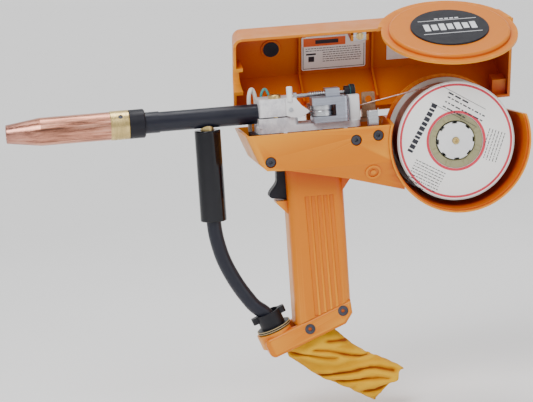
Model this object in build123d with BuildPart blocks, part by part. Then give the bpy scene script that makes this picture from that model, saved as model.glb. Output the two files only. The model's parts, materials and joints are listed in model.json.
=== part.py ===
"""Spool gun: a pistol-grip welding torch that carries its own 100 mm wire spool.

Frame: origin at the centre of the pistol grip, the torch points along -X, +Z is up,
and +Y is the hinge side of the cover. Millimetres. The cover stands open.
"""
import math
import os
from build123d import *

os.makedirs("parts", exist_ok=True)
# ---- driving dimensions -------------------------------------------------------------
AXIS_Z = 121.0                 # barrel and welding wire height
TIP_X = -253.4                 # front of the gas nozzle
NOZZLE_R, NOZZLE_TIP_R, NOZZLE_BACK_X = 11.7, 7.7, -167.0
COLLAR_BACK_X, INSULATOR_BACK_X = -151.0, -138.0
BARREL_R, BARREL_BACK_X = 8.4, -16.0
RIM_Z = 107.0                  # plane where the cover meets the housing
NEAR_Y, FAR_Y = -40.0, 35.0    # outer side walls of the housing
WALL = 2.6
FRONT_X = -59.0
GRIP_L, GRIP_W, GRIP_R = 48.0, 34.0, 8.0
SPOOL_X, SPOOL_Z, SPOOL_R = 118.4, 88.0, 50.0
SPOOL_NEAR_Y, SPOOL_FAR_Y = -31.5, 11.5
WOUND_R = 46.5
BUCKET_X, BUCKET_Z = 120.0, 89.0
BUCKET_NEAR_Y, BUCKET_NEAR_R, BUCKET_FAR_R = -42.0, 60.5, 52.6
HINGE_Y, HINGE_Z, OPEN_ANGLE = 37.5, 115.0, 68.2
ROOF_Z = 148.0                 # outer roof of the closed cover
CREASE_Y = 18.0                # where the roof turns down to the hinge
LID_BACK_X = 181.0
FOOT_TILT = 21.0               # slope of the foot under the grip
ROLL_R, ROLL_X = 9.5, 10.0
WIRE_R = 0.6
ARM_NEAR_Y = -20.5
HOSE_R = 6.2

UPRIGHT = Plane.XZ             # sketch x = X, sketch y = Z, extrudes towards -Y
HINGE_AXIS = Axis((0, HINGE_Y, HINGE_Z), (1, 0, 0))


def write(builder, name):
    """Label a finished piece and write its STEP file."""
    builder.part.label = name
    export_step(builder.part, f"parts/{name}.step")


def write_open(builder, name):
    """Swing a piece that was drawn on the closed cover to the open position and write it."""
    piece = builder.part.rotate(HINGE_AXIS, -OPEN_ANGLE)
    piece.label = name
    export_step(piece, f"parts/{name}.step")


def barrel_plane(x):
    """Plane square to the barrel at x, facing +X."""
    return Plane(origin=(x, 0, AXIS_Z), x_dir=(0, 1, 0), z_dir=(1, 0, 0))


def spool_plane(y, cx=SPOOL_X, cz=SPOOL_Z):
    """Plane square to the spool axis at y, facing -Y."""
    return Plane(origin=(cx, y, cz), x_dir=(1, 0, 0), z_dir=(0, -1, 0))


def tube(x0, x1, outer, inner):
    """Round tube along the barrel axis."""
    with BuildPart(mode=Mode.PRIVATE) as piece:
        with BuildSketch(barrel_plane(x0)):
            Circle(outer)
            if inner > 0:
                Circle(inner, mode=Mode.SUBTRACT)
        extrude(amount=x1 - x0)
    return piece.part


def box_at(x0, x1, y0, y1, z0, z1):
    """Box from its lowest to its highest corner."""
    block = Box(x1 - x0, y1 - y0, z1 - z0, mode=Mode.PRIVATE)
    return Pos((x0 + x1) / 2, (y0 + y1) / 2, (z0 + z1) / 2) * block


def rod(start, end, radius):
    """Round bar between two points."""
    direction = Vector(*end) - Vector(*start)
    bar = Cylinder(radius, direction.length, align=(Align.CENTER, Align.CENTER, Align.MIN), mode=Mode.PRIVATE)
    return Plane(origin=start, z_dir=direction) * bar


# ---- barrel --------------------------------------------------------------------------
with BuildPart() as gas_nozzle:
    with BuildSketch(Plane.XZ):
        with BuildLine():
            Polyline((TIP_X, 6.4), (TIP_X, NOZZLE_TIP_R), (-225, NOZZLE_R), (NOZZLE_BACK_X, NOZZLE_R),
                     (NOZZLE_BACK_X, 9.6), (-227, 9.6), (TIP_X, 6.4))
        make_face()
    revolve(axis=Axis.X)
    fillet(gas_nozzle.edges().filter_by(GeomType.CIRCLE).group_by(Axis.X)[0], 0.5)
gas_nozzle.part = Pos(0, 0, AXIS_Z) * gas_nozzle.part
write(gas_nozzle, "gas_nozzle")

with BuildPart() as nozzle_collar:
    add(tube(NOZZLE_BACK_X, COLLAR_BACK_X, 12.2, 9.6))
    chamfer(nozzle_collar.edges().filter_by(GeomType.CIRCLE), 0.5)
    SCREW_DIR = Vector(0, -math.cos(math.radians(41)), math.sin(math.radians(41)))
    screw_x = NOZZLE_BACK_X + 8.5
    add(rod((screw_x, SCREW_DIR.Y * 9, AXIS_Z + SCREW_DIR.Z * 9),
            (screw_x, SCREW_DIR.Y * 14, AXIS_Z + SCREW_DIR.Z * 14), 2.0), mode=Mode.SUBTRACT)
write(nozzle_collar, "nozzle_collar")

with BuildPart() as nozzle_set_screw:
    add(rod((screw_x, SCREW_DIR.Y * 9.7, AXIS_Z + SCREW_DIR.Z * 9.7),
            (screw_x, SCREW_DIR.Y * 11.6, AXIS_Z + SCREW_DIR.Z * 11.6), 1.95))
write(nozzle_set_screw, "nozzle_set_screw")

with BuildPart() as insulator_collar:
    add(tube(COLLAR_BACK_X, INSULATOR_BACK_X, 12.1, 6.25))
    chamfer(insulator_collar.edges().filter_by(GeomType.CIRCLE).group_by(Axis.X)[-1].sort_by(SortBy.RADIUS)[-1], 1.0)
    add(tube(NOZZLE_BACK_X - 10, COLLAR_BACK_X, 9.5, 6.25))
write(insulator_collar, "insulator_collar")

with BuildPart() as gas_diffuser:
    add(tube(-200, -151, 6.1, 1.6))
    for turn in range(4):
        side = math.radians(45 + 90 * turn)
        add(rod((-190, 3 * math.cos(side), AXIS_Z + 3 * math.sin(side)),
                (-190, 8 * math.cos(side), AXIS_Z + 8 * math.sin(side)), 1.2), mode=Mode.SUBTRACT)
write(gas_diffuser, "gas_diffuser")

with BuildPart() as contact_tip:
    add(tube(-249, -200, 3.2, 0.9))
    chamfer(contact_tip.edges().filter_by(GeomType.CIRCLE).group_by(Axis.X)[0].sort_by(SortBy.RADIUS)[-1], 1.2)
write(contact_tip, "contact_tip")

with BuildPart() as barrel_tube:
    add(tube(INSULATOR_BACK_X, -126, 9.0, 6.3))
    add(tube(-126, BARREL_BACK_X, BARREL_R, 6.3))
write(barrel_tube, "barrel_tube")

with BuildPart() as conductor_tube:
    add(tube(-151, -15, 6.15, 3.4))
write(conductor_tube, "conductor_tube")

with BuildPart() as wire_liner:
    add(tube(-150.5, -3, 2.6, 1.1))
write(wire_liner, "wire_liner")

# ---- front handle, hose and gland ------------------------------------------------------
SLEEVE_X, SLEEVE_TOP, SLEEVE_BOTTOM = -86.0, 111.0, 34.0
with BuildPart() as front_sleeve:
    with BuildSketch(Plane.XY.offset(SLEEVE_BOTTOM)):
        with Locations((SLEEVE_X, 0)):
            Circle(11.0)
            Circle(HOSE_R + 0.1, mode=Mode.SUBTRACT)
    extrude(amount=SLEEVE_TOP - SLEEVE_BOTTOM)
    fillet(front_sleeve.edges().filter_by(GeomType.CIRCLE).sort_by(SortBy.RADIUS)[-2:], 1.0)
write(front_sleeve, "front_sleeve")

with BuildPart() as sleeve_fitting:
    add(rod((SLEEVE_X, 0, SLEEVE_TOP - 14), (SLEEVE_X, 0, AXIS_Z), 5.6))
    add(tube(SLEEVE_X - 9, SLEEVE_X + 9, BARREL_R + 0.05, 0), mode=Mode.SUBTRACT)
write(sleeve_fitting, "sleeve_fitting")

GLAND_X, GLAND_Z = -40.5, -62.5
TILT = math.radians(FOOT_TILT)
GLAND_AXIS = Vector(-math.sin(TILT), 0, math.cos(TILT))


def gland_plane(height):
    """Plane square to the gland, at a height above its seat."""
    return Plane(origin=Vector(GLAND_X, 0, GLAND_Z) + GLAND_AXIS * height,
                 x_dir=(math.cos(TILT), 0, math.sin(TILT)), z_dir=GLAND_AXIS)


HOSE_END = Vector(GLAND_X, 0, GLAND_Z) + GLAND_AXIS * 3
HOSE_ROUTE = [(SLEEVE_X, 0, SLEEVE_TOP - 15), (SLEEVE_X, 0, 24), (-80.5, 0, 0), (-69.5, 0, -23),
              (-56.5, 0, -42), (HOSE_END.X - 5.2, 0, HOSE_END.Z + 11), (HOSE_END.X, 0, HOSE_END.Z)]


def bend_radii(route, share=0.45):
    """Largest arc that each corner of a route has room for."""
    points = [Vector(*p) for p in route]
    radii = []
    for before, corner, after in zip(points, points[1:], points[2:]):
        turn = math.radians((corner - before).get_angle(after - corner))
        shorter = min((corner - before).length, (after - corner).length)
        radii.append(share * shorter / math.tan(turn / 2))
    return radii


def route_wire(route):
    """Straight runs joined by tangent arcs."""
    with BuildLine(mode=Mode.PRIVATE) as path:
        FilletPolyline(*route, radius=bend_radii(route))
    return path.wire()


def tube_along(route, radius):
    """Round tube swept along a route."""
    line = route_wire(route)
    with BuildPart(mode=Mode.PRIVATE) as piece:
        with BuildSketch(Plane(origin=line @ 0, z_dir=line % 0)):
            Circle(radius)
        sweep(path=line)
    return piece.part


with BuildPart() as power_hose:
    add(tube_along(HOSE_ROUTE, HOSE_R))
write(power_hose, "power_hose")
print("hose radii", [round(r) for r in bend_radii(HOSE_ROUTE)],
      "volume ratio", round(power_hose.part.volume / (math.pi * HOSE_R ** 2 * route_wire(HOSE_ROUTE).length), 3))

with BuildPart() as gland_flange:
    with BuildSketch(gland_plane(0)):
        Circle(14.6)
        Circle(HOSE_R + 0.6, mode=Mode.SUBTRACT)
    extrude(amount=3.4)
    fillet(gland_flange.edges().filter_by(GeomType.CIRCLE).sort_by(SortBy.RADIUS)[-2:], 0.8)
write(gland_flange, "gland_flange")

with BuildPart() as gland_nut:
    with BuildSketch(gland_plane(3.4)):
        Circle(10.6)
        Circle(HOSE_R + 3.0, mode=Mode.SUBTRACT)
    extrude(amount=12.5)
    with BuildSketch(gland_plane(10.4)):
        with Locations((-11, 0), (11, 0)):
            RectangleRounded(8, 7, 2.4)
        Circle(10, mode=Mode.SUBTRACT)
    extrude(amount=5.5)
write(gland_nut, "gland_nut")


# ---- foot under the grip ---------------------------------------------------------------
def foot_plane(y=0.0):
    """Sketch plane whose x runs along the sloping foot and whose y is square to it."""
    return Plane(origin=(0, y, 0), x_dir=(math.cos(TILT), 0, math.sin(TILT)), z_dir=(0, -1, 0))


FOOT_TOP, FOOT_BOTTOM, FOOT_FRONT, FOOT_BACK = -46.5, -63.5, -74.0, 7.0
FOOT_SCREWS = ((16, -49.5), (-13, -62.5))
GLAND_U = GLAND_X * math.cos(TILT) + GLAND_Z * math.sin(TILT)
with BuildPart() as grip_foot:
    with BuildSketch(foot_plane(17.5)):
        with BuildLine():
            Polyline((FOOT_FRONT, FOOT_BOTTOM), (FOOT_BACK - 12, FOOT_BOTTOM), (FOOT_BACK - 3, FOOT_BOTTOM + 6),
                     (FOOT_BACK, FOOT_TOP), (FOOT_FRONT, FOOT_TOP), (FOOT_FRONT, FOOT_BOTTOM))
        make_face()
        fillet(vertices().group_by(Axis.X)[0], 5)
    extrude(amount=35)
    fillet(grip_foot.edges().group_by(Axis.Y)[0], 2.5)
    with BuildSketch(gland_plane(0)):
        Circle(16.4)
    extrude(amount=-12)
    with BuildSketch(gland_plane(0)):
        Circle(12.5)
    extrude(amount=-30, mode=Mode.SUBTRACT)
    with BuildSketch(gland_plane(0)):
        with Locations((34, 0)):
            RectangleRounded(48, 27, 8)
    extrude(amount=-30, mode=Mode.SUBTRACT)
    add(box_at(-23, 19, -14, 14, -80, -20), mode=Mode.SUBTRACT)
    for x, z in FOOT_SCREWS:
        add(rod((x, -14, z), (x, -15.9, z), 5.4))
        add(rod((x, -15.9, z), (x, -19, z), 4.5), mode=Mode.SUBTRACT)
write(grip_foot, "grip_foot")

# ---- housing: two shells split on the barrel plane ----------------------------


def body_block(inset):
    """The box-like upper body with its sloping underside, drawn in by a wall thickness."""
    with BuildPart(mode=Mode.PRIVATE) as block:
        with BuildSketch(UPRIGHT.offset(inset - FAR_Y)):
            with BuildLine():
                Polyline((FRONT_X, RIM_Z + 8), (FRONT_X, RIM_Z), (-49.5, 83), (-43.5, 77), (-26, 76),
                         (26.5, 64), (73, 50.3), (73, RIM_Z + 8), (FRONT_X, RIM_Z + 8))
            make_face()
            offset(amount=-inset, kind=Kind.INTERSECTION)
        extrude(amount=FAR_Y - NEAR_Y - 2 * inset)
        with BuildSketch(Plane.YZ.offset(-70)):
            for wall_y, out in ((NEAR_Y, -1), (FAR_Y, 1)):
                with BuildLine():
                    Polyline((wall_y - out * inset, 76), (wall_y - out * (13.4 + inset), 47),
                             (wall_y + out * 5, 47), (wall_y + out * 5, 76), (wall_y - out * inset, 76))
                make_face()
        extrude(amount=160, mode=Mode.SUBTRACT)
    return block.part


def bucket_cone(grow, y0=BUCKET_NEAR_Y, y1=FAR_Y):
    """Solid cone of the spool bucket, grown or shrunk by a wall."""
    slope = (BUCKET_FAR_R - BUCKET_NEAR_R) / (FAR_Y - BUCKET_NEAR_Y)
    with BuildPart(mode=Mode.PRIVATE) as cone:
        with BuildSketch(spool_plane(y0, BUCKET_X, BUCKET_Z)):
            Circle(BUCKET_NEAR_R + grow + slope * (y0 - BUCKET_NEAR_Y))
        with BuildSketch(spool_plane(y1, BUCKET_X, BUCKET_Z)):
            Circle(BUCKET_NEAR_R + grow + slope * (y1 - BUCKET_NEAR_Y))
        loft()
    return cone.part


WELLS = ((-40, 84), (32.6, 96.5), (51.4, 99))
TRIGGER_X, TRIGGER_Z = -21.0, 72.5
with BuildPart() as housing:
    add(body_block(0))
    split(bisect_by=Plane.XY.offset(RIM_Z), keep=Keep.BOTTOM)
    slanted = housing.faces().filter_by(lambda f: f.normal_at().X < -0.9).sort_by(Axis.Z)[-1]
    fillet(slanted.edges().filter_by(lambda e: e.length < 40), 6)
    with BuildSketch(Plane.XY.offset(-75)):
        RectangleRounded(GRIP_L, GRIP_W, GRIP_R)
    extrude(amount=75 + 77)
    with BuildSketch(UPRIGHT.offset(9)):
        with BuildLine():
            Polyline((-22, 33), (-24.5, 36), (-32.5, 44.5), (-33, 46.8), (-22, 46.8), (-22, 33))
        make_face()
    extrude(amount=-18)
    with BuildSketch(UPRIGHT.offset(14)):
        with BuildLine():
            Polyline((22, 52), (24, 54), (33, 66), (22, 70), (22, 52))
        make_face()
    extrude(amount=-28)
    # rib field on each side of the grip: five shallow grooves between raised ribs
    for side in (-1, 1):
        for groove in range(5):
            x = -8.5 + 5.2 * groove
            add(rod((x, side * (GRIP_W / 2 + 1.1), 50), (x + 2, side * (GRIP_W / 2 + 1.1), -52), 2.2),
                mode=Mode.SUBTRACT)
    split(bisect_by=Plane(origin=foot_plane().from_local_coords((0, FOOT_TOP, 0)), z_dir=GLAND_AXIS))
    # hollow inside
    add(body_block(WALL), mode=Mode.SUBTRACT)
    with BuildSketch(Plane.XY.offset(-80)):
        RectangleRounded(GRIP_L - 2 * WALL, GRIP_W - 2 * WALL, GRIP_R - WALL)
    extrude(amount=80 + 79, mode=Mode.SUBTRACT)
    add(box_at(-40, -18, -6.5, 6.5, 46.8, 78.5), mode=Mode.SUBTRACT)
    add(bucket_cone(0.2), mode=Mode.SUBTRACT)
    # screw wells on the near side, ring boss on the sloping wall
    for x, z in WELLS:
        add(rod((x, NEAR_Y + 1, z), (x, NEAR_Y + 9, z), 5.8))
        add(rod((x, NEAR_Y - 1, z), (x, NEAR_Y + 3.4, z), 4.6), mode=Mode.SUBTRACT)
        add(rod((x, NEAR_Y, z), (x, NEAR_Y + 12, z), 1.85), mode=Mode.SUBTRACT)
    add(rod((TRIGGER_X, -9, TRIGGER_Z), (TRIGGER_X, 9, TRIGGER_Z), 1.52), mode=Mode.SUBTRACT)
    boss_face = Plane(origin=(45.6, NEAR_Y + 3.4, 68.6), x_dir=(1, 0, 0), z_dir=(0, -0.908, -0.419))
    with BuildSketch(boss_face.offset(-1)):
        Circle(6.6)
        Circle(4.6, mode=Mode.SUBTRACT)
        Circle(2.2)
    extrude(amount=1.8)
    # barrel saddle cut in the front wall
    add(rod((-70, 0, AXIS_Z), (-40, 0, AXIS_Z), BARREL_R + 0.6), mode=Mode.SUBTRACT)

housing_shell = housing.part
for side, name in ((Keep.TOP, "housing_left"), (Keep.BOTTOM, "housing_right")):
    with BuildPart() as half:
        add(housing_shell)
        split(bisect_by=Plane(origin=(0, 0, 0), z_dir=(0, -1, 0)), keep=side)
        if side == Keep.BOTTOM:
            # hinge knuckles stand on the far wall
            for x in (-44, 4, 52):
                add(rod((x, HINGE_Y, HINGE_Z), (x + 14, HINGE_Y, HINGE_Z), 3.2))
                add(box_at(x, x + 14, FAR_Y - 2.4, FAR_Y + 1.5, 96, RIM_Z))
                add(box_at(x, x + 14, FAR_Y - 0.1, HINGE_Y + 2, 100, RIM_Z))
                add(box_at(x, x + 14, FAR_Y + 0.3, HINGE_Y + 2, RIM_Z - 1, HINGE_Z))
            add(rod((-60, HINGE_Y, HINGE_Z), (80, HINGE_Y, HINGE_Z), 1.6), mode=Mode.SUBTRACT)
            add(bucket_cone(0.2), mode=Mode.SUBTRACT)
    write(half, name)

with BuildPart() as hinge_pin:
    add(rod((-44, HINGE_Y, HINGE_Z), (66, HINGE_Y, HINGE_Z), 1.55))
write(hinge_pin, "hinge_pin")

with BuildPart() as housing_screws:
    for x, z in WELLS:
        with BuildSketch(UPRIGHT.offset(-NEAR_Y - 3.4)):
            with Locations((x, z)):
                Circle(3.9)
                RegularPolygon(1.7, 6, mode=Mode.SUBTRACT)
        extrude(amount=2.2)
        add(rod((x, NEAR_Y + 3.0, z), (x, NEAR_Y + 8.5, z), 1.8))
    for x, z in FOOT_SCREWS:
        with BuildSketch(UPRIGHT.offset(15.9)):
            with Locations((x, z)):
                Circle(4.3)
                RegularPolygon(1.8, 6, mode=Mode.SUBTRACT)
        extrude(amount=1.2)
write(housing_screws, "case_screws")

# ---- spool bucket ------------------------------------------------------------------------
BACKPLATE_Y = 13.2
with BuildPart() as spool_bucket:
    add(bucket_cone(0))
    add(bucket_cone(-WALL, BUCKET_NEAR_Y - 0.01, FAR_Y - WALL), mode=Mode.SUBTRACT)
    with BuildSketch(spool_plane(BUCKET_NEAR_Y - 0.5, BUCKET_X, BUCKET_Z)):
        Circle(58.9)
    extrude(amount=-3.7, mode=Mode.SUBTRACT)
    split(bisect_by=Plane.XY.offset(RIM_Z), keep=Keep.BOTTOM)
    with BuildSketch(spool_plane(BACKPLATE_Y, 117.5, 89.6)):
        Circle(51.2)
    extrude(amount=-2.4)
    add(rod((SPOOL_X, BACKPLATE_Y + 2, SPOOL_Z), (SPOOL_X, SPOOL_FAR_Y + 0.5, SPOOL_Z), 12))
write(spool_bucket, "spool_bucket")

# ---- spool ---------------------------------------------------------------------------------
with BuildPart() as spool:
    for y in (SPOOL_NEAR_Y + 2, SPOOL_FAR_Y):
        with BuildSketch(spool_plane(y)):
            Circle(SPOOL_R)
            Circle(23, mode=Mode.SUBTRACT)
        extrude(amount=2)
    with BuildSketch(spool_plane(SPOOL_FAR_Y)):
        Circle(25)
        Circle(22.8, mode=Mode.SUBTRACT)
        Circle(11)
        Circle(8.2, mode=Mode.SUBTRACT)
    extrude(amount=SPOOL_FAR_Y - SPOOL_NEAR_Y - 8)
    with BuildSketch(spool_plane(SPOOL_FAR_Y)):
        Circle(25)
        Circle(22.8, mode=Mode.SUBTRACT)
    extrude(amount=SPOOL_FAR_Y - SPOOL_NEAR_Y)
    with BuildSketch(spool_plane(0)):
        Circle(23.5)
        Circle(10, mode=Mode.SUBTRACT)
    extrude(amount=2.4)
    for turn in range(8):
        with BuildSketch(spool_plane(10)):
            with PolarLocations(0, 1, start_angle=45 * turn):
                with Locations((16.5, 0)):
                    Rectangle(13, 2)
        extrude(amount=33)
write(spool, "spool")

with BuildPart() as wound_wire:
    with BuildSketch(spool_plane(SPOOL_FAR_Y - 2.05)):
        Circle(WOUND_R)
        Circle(25.05, mode=Mode.SUBTRACT)
    extrude(amount=SPOOL_FAR_Y - SPOOL_NEAR_Y - 4.1)
write(wound_wire, "wound_wire")

with BuildPart() as spool_label:
    with BuildSketch(spool_plane(SPOOL_NEAR_Y)):
        Circle(49)
        Circle(23.2, mode=Mode.SUBTRACT)
    extrude(amount=0.4)
write(spool_label, "spool_label")

with BuildPart() as spool_spindle:
    add(rod((SPOOL_X, SPOOL_FAR_Y + 0.5, SPOOL_Z), (SPOOL_X, -27.1, SPOOL_Z), 7.9))
    add(rod((SPOOL_X, -24.2, SPOOL_Z), (SPOOL_X, -24.8, SPOOL_Z), 10.5))
write(spool_spindle, "spool_spindle")

with BuildPart() as spool_cap:
    with BuildSketch(spool_plane(-27.1)):
        Circle(15.8)
        with PolarLocations(15.8, 8):
            Rectangle(3.2, 4.5, mode=Mode.SUBTRACT)
    extrude(amount=3.6)
    with BuildSketch(spool_plane(-27.1)):
        Circle(3.0)
    extrude(amount=4, mode=Mode.SUBTRACT)
    fillet(spool_cap.edges().group_by(Axis.Y)[0].filter_by(GeomType.CIRCLE), 0.5)
write(spool_cap, "spool_cap")

with BuildPart() as cap_screw:
    add(rod((SPOOL_X, -27.1, SPOOL_Z), (SPOOL_X, -31.3, SPOOL_Z), 2.9))
    with BuildSketch(spool_plane(-29.3)):
        Rectangle(2.6, 2.6)
    extrude(amount=3, mode=Mode.SUBTRACT)
write(cap_screw, "cap_screw")

# ---- cover, drawn closed and swung open --------------------------------------------------------
LID_RIM_Z = RIM_Z + 0.4
COVER_X, SHROUD_R, SHROUD_INNER_R, DISC_Y = 121.6, 60.4, 58.0, -38.9
FRONT_LEAN, NEAR_LEAN, BACK_LEAN = 5.0, 10.0, 3.0
SLOPE_FOOT_Z = 119.0
SLOPE_NORMAL = (0, ROOF_Z - SLOPE_FOOT_Z, FAR_Y - CREASE_Y)


def lid_section(z, inset):
    """Outline of the cover at a height: its walls lean in towards the roof."""
    rise = (z - LID_RIM_Z) / (ROOF_Z - LID_RIM_Z)
    x0, x1 = FRONT_X + FRONT_LEAN * rise + inset, LID_BACK_X - BACK_LEAN * rise - inset
    y0, y1 = NEAR_Y + NEAR_LEAN * rise + inset, FAR_Y - inset
    with BuildSketch(Plane((0, 0, z)), mode=Mode.PRIVATE) as outline:
        with Locations(((x0 + x1) / 2, (y0 + y1) / 2)):
            Rectangle(x1 - x0, y1 - y0)
    return outline.sketch


def lid_block(inset):
    """Outer or inner shape of the cover: leaning walls, flat roof and sloping hinge side."""
    with BuildPart(mode=Mode.PRIVATE) as block:
        add(lid_section(LID_RIM_Z - (4 if inset else 0), inset))
        add(lid_section(ROOF_Z - inset, inset))
        loft()
        slope = Plane(origin=(0, CREASE_Y, ROOF_Z), x_dir=(1, 0, 0), z_dir=SLOPE_NORMAL)
        split(bisect_by=slope.offset(-inset), keep=Keep.BOTTOM)
        front_corner = block.edges().sort_by_distance((FRONT_X + 3, NEAR_Y + 5, LID_RIM_Z + 15))[0]
        fillet(front_corner, 7.5 - inset)
        if inset == 0:
            fillet(block.faces().sort_by(Axis.Z)[-1].edges(), 2.4)
    return block.part


def shroud(radius, y0, y1):
    """Drum round the spool that joins the cover to its disc, above the rim only."""
    with BuildPart(mode=Mode.PRIVATE) as drum:
        with BuildSketch(spool_plane(y1, COVER_X, BUCKET_Z)):
            Circle(radius)
        extrude(amount=y1 - y0)
        split(bisect_by=Plane.XY.offset(LID_RIM_Z))
    return drum.part


BUMPER_X, BUMPER_Y = -21.0, -9.8
RIB_XS = (2.6, 66.0)
with BuildPart() as lid_ribs:
    add(lid_block(1))
    add(lid_block(6), mode=Mode.SUBTRACT)
    with Locations(*[(x + 0.9, 0, 135) for x in RIB_XS]):
        Box(1.8, 90, 34, mode=Mode.INTERSECT)

with BuildPart() as barrel_collar:
    add(rod((FRONT_X + 1, 0, AXIS_Z), (FRONT_X + 8, 0, AXIS_Z), 12.5))
    add(box_at(FRONT_X + 1, FRONT_X + 8, -12.5, 12.5, LID_RIM_Z, AXIS_Z))
    add(lid_block(0.5), mode=Mode.INTERSECT)

with BuildPart() as lid:
    add(lid_block(0))
    add(shroud(SHROUD_R, DISC_Y, -26))
    add(lid_block(2.4), mode=Mode.SUBTRACT)
    add(shroud(SHROUD_INNER_R, DISC_Y - 1, -28.4), mode=Mode.SUBTRACT)
    add(shroud(SHROUD_R, DISC_Y - 8, DISC_Y), mode=Mode.SUBTRACT)
    add(lid_ribs.part)
    # opening for the barrel with a raised collar inside
    add(barrel_collar.part)
    add(rod((-70, 0, AXIS_Z), (-45, 0, AXIS_Z), 9.4), mode=Mode.SUBTRACT)
    add(box_at(-70, -45, -9.4, 9.4, 90, AXIS_Z), mode=Mode.SUBTRACT)
    # bosses: bumper seat, catch posts and the back corner block
    add(rod((BUMPER_X, BUMPER_Y, 144.6), (BUMPER_X, BUMPER_Y, 146), 8.4))
    for x in (43.8, 56.8):
        add(box_at(x, x + 2.2, -29.4, -23.5, 120.4, 146))
    add(box_at(166, 178, 20, 33, 112, 123))
    # hinge knuckles
    for x in (-29, 19, 67):
        add(rod((x, HINGE_Y, HINGE_Z), (x + 32, HINGE_Y, HINGE_Z), 3.2))
        add(box_at(x, x + 32, FAR_Y - 2, HINGE_Y, HINGE_Z, HINGE_Z + 3.2))
    for x in (-44, 4, 52):
        add(rod((x - 0.4, HINGE_Y, HINGE_Z), (x + 14.4, HINGE_Y, HINGE_Z), 3.9), mode=Mode.SUBTRACT)
    add(rod((-60, HINGE_Y, HINGE_Z), (100, HINGE_Y, HINGE_Z), 1.63), mode=Mode.SUBTRACT)
write_open(lid, "lid")

with BuildPart() as spool_cover:
    with BuildSketch(spool_plane(DISC_Y, COVER_X, BUCKET_Z)):
        Circle(57.2)
    extrude(amount=2.2)
    with BuildSketch(spool_plane(DISC_Y - 2.2, COVER_X, BUCKET_Z)):
        Circle(51)
    extrude(amount=3.4)
    fillet(spool_cover.edges().filter_by(GeomType.CIRCLE).group_by(Axis.Y)[0], 2.2)
    add(shroud(60.4, DISC_Y - 2.2, DISC_Y))
    with BuildSketch(spool_plane(DISC_Y, COVER_X, BUCKET_Z)):
        Circle(49)
    extrude(amount=3, mode=Mode.SUBTRACT)
write_open(spool_cover, "spool_cover")

with BuildPart() as cover_badge:
    with BuildSketch(spool_plane(DISC_Y - 5.6, COVER_X, BUCKET_Z)):
        Circle(33)
    extrude(amount=1.4)
    fillet(cover_badge.edges().group_by(Axis.Y)[0], 0.8)
write_open(cover_badge, "cover_badge")

with BuildPart() as lid_bumper:
    add(rod((BUMPER_X, BUMPER_Y, 143.7), (BUMPER_X, BUMPER_Y, 144.6), 6.8))
write_open(lid_bumper, "lid_bumper")

PLATE_X0, PLATE_X1, PLATE_Y0, PLATE_Y1, PLATE_Z = 5.6, 61.4, -18.6, 13.4, 145.0
with BuildPart() as instruction_plate:
    add(box_at(PLATE_X0, PLATE_X1, PLATE_Y0, PLATE_Y1, PLATE_Z, PLATE_Z + 0.6))
    fillet(instruction_plate.edges().filter_by(Axis.Z), 2)
    add(box_at(80, 112, -15, 9.2, PLATE_Z + 0.1, PLATE_Z + 0.6))
write_open(instruction_plate, "instruction_plates")

with BuildPart() as catch_plate:
    add(box_at(46, 56.8, -32.5, -23.5, 120.4, 122.2))
    add(rod((51.4, -28, 118), (51.4, -28, 130), 1.7), mode=Mode.SUBTRACT)
write_open(catch_plate, "catch_plate")

with BuildPart() as catch_screw:
    add(rod((51.4, -28, 119.3), (51.4, -28, 120.4), 3.2))
    add(rod((51.4, -28, 120.4), (51.4, -28, 126), 1.6))
write_open(catch_screw, "catch_screw")

# ---- feed mechanism ----------------------------------------------------------------------------
PLATE_TOP = 110.5
LEVER_X, LEVER_Z = -17.0, 124.0
with BuildPart() as seal_block:
    add(box_at(-50, -26, -15, 15, 96, 105))
    fillet(seal_block.edges().filter_by(Axis.Z), 4)
write(seal_block, "insulating_block")

with BuildPart() as drive_frame:
    add(box_at(-45, 42, -15, 15, 105, PLATE_TOP))
    fillet(drive_frame.edges().filter_by(Axis.Z), 5)
    add(box_at(-44, -12, -15, 14, PLATE_TOP - 1, 117.5))
    fillet(drive_frame.edges().filter_by(Axis.Z).group_by(Axis.Z)[-1].filter_by(lambda e: e.length < 9), 3)
    add(rod((-70, 0, AXIS_Z), (0, 0, AXIS_Z), BARREL_R + 0.05), mode=Mode.SUBTRACT)
    add(rod((ROLL_X, ROLL_R + WIRE_R, 100), (ROLL_X, ROLL_R + WIRE_R, 120), 3.3), mode=Mode.SUBTRACT)
write(drive_frame, "drive_frame")

with BuildPart() as barrel_clamp:
    add(box_at(-43, -13, -15, 13, 118.6, 133.5))
    fillet(barrel_clamp.edges().filter_by(Axis.Z), 3)
    add(rod((-70, 0, AXIS_Z), (0, 0, AXIS_Z), BARREL_R + 0.05), mode=Mode.SUBTRACT)
    add(rod((-29, -11.6, 110), (-29, -11.6, 140), 2.3), mode=Mode.SUBTRACT)
    add(rod((LEVER_X, -25, LEVER_Z), (LEVER_X, -11.9, LEVER_Z), 1.82), mode=Mode.SUBTRACT)
write(barrel_clamp, "barrel_clamp")

with BuildPart() as clamp_screw:
    add(rod((-29, -11.6, 117.6), (-29, -11.6, 133.5), 2.2))
    with BuildSketch(Plane.XY.offset(133.5)):
        with Locations((-29, -9.0)):
            Circle(5.4)
    extrude(amount=3.4)
    fillet(clamp_screw.edges().group_by(Axis.Z)[-1], 1.2)
    add(box_at(-34, -24, -10.1, -9.1, 135.6, 137.5), mode=Mode.SUBTRACT)
write(clamp_screw, "clamp_screw")

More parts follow.
